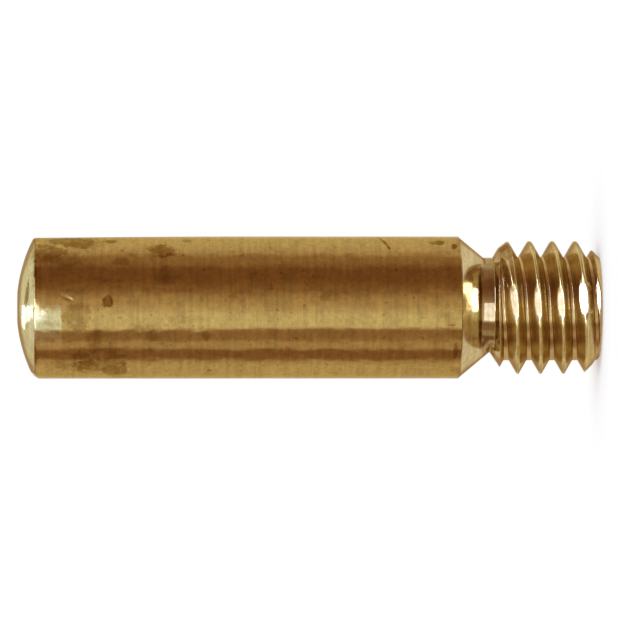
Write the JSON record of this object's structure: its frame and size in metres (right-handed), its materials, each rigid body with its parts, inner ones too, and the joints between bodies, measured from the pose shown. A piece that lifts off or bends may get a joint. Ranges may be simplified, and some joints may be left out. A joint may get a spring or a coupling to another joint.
{
  "type": "welding contact tip",
  "caption": "Round copper-alloy contact tip with a domed nose, a necked stud with a right-hand thread and a fine through bore that feeds welding wire and passes it current.",
  "frame": {"origin": "centre of the stud's end face, on which the tip stands", "axes": "+Z along the bore axis, from the threaded stud up to the domed nose"},
  "size_m": [0.0062, 0.0062, 0.0254],
  "materials": {
    "copper_alloy": "turned copper alloy, tarnished golden brown on the body, brighter on the nose, neck and thread"
  },
  "bodies": {
    "root": {"contact_tip": "copper_alloy"}
  },
  "joints": []
}
